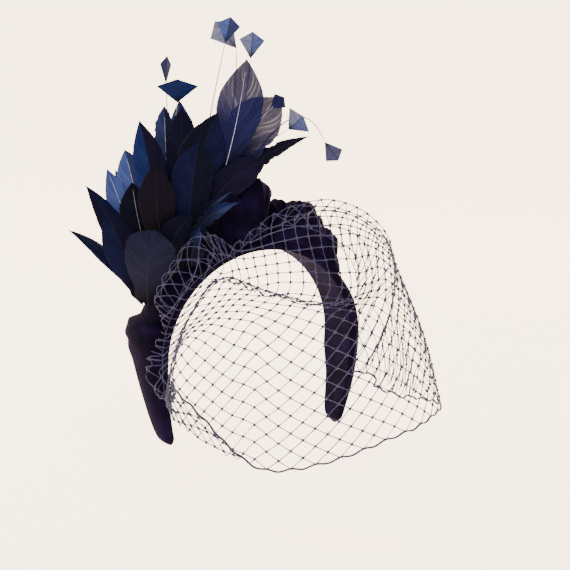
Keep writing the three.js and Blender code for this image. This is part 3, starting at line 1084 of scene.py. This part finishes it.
def net_columns():
    """The net's columns round the face, evenly spaced along the hem, and how many half cells wide it is."""
    shares = [k / GORE_STEPS for k in range(GORE_STEPS + 1)]
    hem = lengths([gore_line(share)[-1] for share in shares])
    run = [0]
    for share, a, b in zip(shares, hem, hem[1:]):
        run.append(run[-1] + (b - a) * (1 + SIDE_FULLNESS * (1 - smooth_step(*FULL_SIDE, share))))
    cells = 2 * round(run[-1] / HALF_CELL / 2)
    spaced = [Vector((share, 0, 0)) for share in shares]
    wanted = [run[-1] * k / (cells * NET_FINE) for k in range(cells * NET_FINE + 1)]
    return [net_column(place.x) for place in at_measures(spaced, run, wanted)], cells


def seam_crossing(columns, inner, outer, row, climb):
    """Where a strand crosses the seam, from its row on the inner of two columns.

    climb: 1 where the strand goes on up to the outer column, and -1 where it comes up from there.
    """
    a, b = columns[inner], columns[outer]
    share = (a["reach"] - row) / (climb + a["reach"] - b["reach"])
    return a["seam"].lerp(b["seam"], clamp(share, 0, 1)), False


def strands(columns, step):
    """All strands that climb the net one way, each cut where it meets the seam or a side."""
    tallest = max(len(column["places"]) for column in columns)
    margin = 2 * NET_FINE * math.ceil(tallest / (2 * NET_FINE))
    found = []
    for start in range(-margin, len(columns) + margin, 2 * NET_FINE):
        path = []
        for row in range(tallest):
            i = start + step * row
            on_net = 0 <= i < len(columns)
            places = columns[i]["places"] if on_net else ()
            if row < len(places) and places[row] is not None:
                before = i - step
                if not path and 0 <= before < len(columns) and row > len(columns[before]["places"]):
                    path.append(seam_crossing(columns, i, before, row, -1))
                path.append((places[row], row % NET_FINE == 0))
            elif path:
                if on_net and row >= len(places):
                    path.append(seam_crossing(columns, i - step, i, row - 1, 1))
                found.append(path)
                path = []
        if path:
            found.append(path)
    return [path for path in found if len(path) > 1]


def thread_piece(name, paths, thread):
    """Round threads down each path, thicker where they're knotted."""
    curve = bpy.data.curves.new(name, "CURVE")
    curve.dimensions = "3D"
    curve.bevel_depth = thread * MM
    curve.bevel_resolution = 0
    curve.use_fill_caps = True
    for path in paths:
        spline = curve.splines.new("POLY")
        spline.points.add(len(path) - 1)
        for point, (place, knot) in zip(spline.points, path):
            point.co = (*place, 1)
            point.radius = 1.5 if knot else 1
    piece = bpy.data.objects.new(name, curve)
    bpy.context.scene.collection.objects.link(piece)
    only(piece)
    bpy.ops.object.convert(target="MESH")
    return mesh_piece(name)


def knot_piece(name, places, size):
    """One small knot, modelled once and set at every place."""
    bpy.ops.mesh.primitive_ico_sphere_add(subdivisions=1, radius=size * MM)
    knot = mesh_piece(name + "_one")
    mesh = bpy.data.meshes.new(name)
    mesh.from_pydata(places, [], [])
    piece = bpy.data.objects.new(name, mesh)
    bpy.context.scene.collection.objects.link(piece)
    group = bpy.data.node_groups.new(name, "GeometryNodeTree")
    group.interface.new_socket("Points", in_out="INPUT", socket_type="NodeSocketGeometry")
    group.interface.new_socket("Knots", in_out="OUTPUT", socket_type="NodeSocketGeometry")
    nodes = {kind: group.nodes.new(kind) for kind in (
        "NodeGroupInput", "GeometryNodeInstanceOnPoints", "GeometryNodeObjectInfo",
        "GeometryNodeRealizeInstances", "NodeGroupOutput",
    )}
    nodes["GeometryNodeObjectInfo"].inputs["Object"].default_value = knot
    links = group.links
    scatter = nodes["GeometryNodeInstanceOnPoints"]
    links.new(nodes["NodeGroupInput"].outputs[0], scatter.inputs["Points"])
    links.new(nodes["GeometryNodeObjectInfo"].outputs["Geometry"], scatter.inputs["Instance"])
    links.new(scatter.outputs[0], nodes["GeometryNodeRealizeInstances"].inputs[0])
    links.new(nodes["GeometryNodeRealizeInstances"].outputs[0], nodes["NodeGroupOutput"].inputs[0])
    only(piece)
    setting = piece.modifiers.new("knots", "NODES")
    setting.node_group = group
    bpy.ops.object.modifier_apply(modifier=setting.name)
    bpy.data.objects.remove(knot)
    return piece


def plain(places):
    """A path of thread without knots."""
    return [(place, False) for place in places]


def net(name, columns, cells):
    """A diamond net: its strands both ways, its knots, a thicker scalloped hem and a sewn seam."""
    pieces = [thread_piece(name, strands(columns, 1) + strands(columns, -1), THREAD)]
    places = []
    for i in range(cells + 1):
        column = columns[i * NET_FINE]["places"]
        for j in range(1, (len(column) - 1) // NET_FINE + 1):
            if (i + j) % 2 == 0 and column[j * NET_FINE] is not None:
                places.append(column[j * NET_FINE])
    pieces.append(knot_piece(name + "_knots", places, KNOT))
    hem = []
    for i, column in enumerate(columns):
        dip = SCALLOP * (1 - math.cos(math.pi * i / NET_FINE)) / 2
        hem.append(border(column) - Vector((0, 0, dip * MM)))
    pieces.append(thread_piece(name + "_hem", [plain(hem)], HEM_THREAD))
    sides = [[*column["places"], column["seam"]] for column in (columns[0], columns[-1])]
    paths = [plain(place for place in side if place is not None) for side in sides]
    pieces.append(thread_piece(name + "_sides", paths, HEM_THREAD))
    seam = plain(column["seam"] for column in columns)
    pieces.append(thread_piece(name + "_seam", [seam], SEAM_THREAD))
    return pieces


def veil():
    columns, cells = net_columns()
    piece = joined("cage_veil", net("cage_veil", columns, cells))
    piece.data.materials.append(NETTING)
    smooth(piece)
    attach(piece, "root")
    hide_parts("veil")


headband()
drape("velvet_fold_top", "drape_top", DRAPE_TOP, 2.0, 6)
drape("velvet_fold_side", "drape_side", DRAPE_SIDE, 7.0, 0)
for number, (row, dye) in enumerate(zip(FEATHERS, DYES), 1):
    feather(number, row, dye)
for number, (row, dye) in enumerate(zip(QUILLS, KITE_DYES), 1):
    kite_quill(number, row, dye)
veil()


# Studio: a pale floor that sweeps up into a wall, soft lights, and the camera. Its sizes are in metres.

FLOOR_Z = -0.2
SWEEP_HALF = 4
SWEEP_FRONT, SWEEP_BACK = -3, 5
SWEEP_BEND = 1.4
SWEEP_ROUND = 0.9
LIT = Vector((0, -0.03, 0))
AIR = (1.0, 0.93, 0.84, 1)


def studio():
    def place(u, v):
        across = lerp(-SWEEP_HALF, SWEEP_HALF, u)
        run = lerp(SWEEP_FRONT, SWEEP_BACK, v)
        if run < SWEEP_BEND:
            return Vector((across, run, FLOOR_Z))
        turn = min((run - SWEEP_BEND) / SWEEP_ROUND, math.pi / 2)
        back = SWEEP_BEND + SWEEP_ROUND * math.sin(turn)
        rest = run - SWEEP_BEND - SWEEP_ROUND * turn
        return Vector((across, back, FLOOR_Z + SWEEP_ROUND * (1 - math.cos(turn)) + rest))

    sweep = grid_piece("studio_sweep", 4, 60, place)
    sweep.data.transform(Matrix.Rotation(SPRAY_TURN, 4, "Z"))
    smooth(sweep)
    sweep.data.materials.append(studio_finish())


def soft_light(name, place, size, power, colour):
    light = bpy.data.lights.new(name, "AREA")
    light.shape = "DISK"
    light.size = size
    light.energy = power
    light.color = colour
    lamp = bpy.data.objects.new(name, light)
    bpy.context.scene.collection.objects.link(lamp)
    lamp.location = place
    aim = LIT - Vector(place)
    lamp.rotation_euler = aim.to_track_quat("-Z", "Y").to_euler()


def lights():
    warm, cool = (1.0, 0.97, 0.93), (0.93, 0.96, 1.0)
    soft_light("key", (-0.9, -1.5, 1.5), 1.0, 40, warm)
    soft_light("fill", (1.5, -1.2, 0.7), 1.4, 9, cool)
    soft_light("rim", (-1.1, 1.2, 1.1), 0.9, 24, cool)
    world = bpy.data.worlds.new("studio air")
    world.use_nodes = True
    air = world.node_tree.nodes["Background"]
    air.inputs["Color"].default_value = AIR
    air.inputs["Strength"].default_value = 1.0
    bpy.context.scene.world = world


# The camera looks at the spray's face, from where the photograph was taken. A pixel of the picture is PIXEL
# wide at the crown, which lies at CROWN_PIXEL.
CAMERA_FAR = 1.3
PIXEL = 0.728 * MM
PICTURE = 570
CROWN_PIXEL = (254, 246.5)
SENSOR = 36


def camera():
    data = bpy.data.cameras.new("camera")
    data.sensor_width = SENSOR
    data.lens = SENSOR * CAMERA_FAR / (PICTURE * PIXEL)
    eye = bpy.data.objects.new("camera", data)
    bpy.context.scene.collection.objects.link(eye)
    middle = PICTURE / 2
    aim = ACROSS * (middle - CROWN_PIXEL[0]) * PIXEL - UP * (middle - CROWN_PIXEL[1]) * PIXEL
    turn = Matrix((ACROSS, UP, TOWARD)).transposed().to_4x4()
    eye.matrix_world = Matrix.Translation(aim + TOWARD * CAMERA_FAR) @ turn
    bpy.context.scene.camera = eye


studio()
lights()
camera()
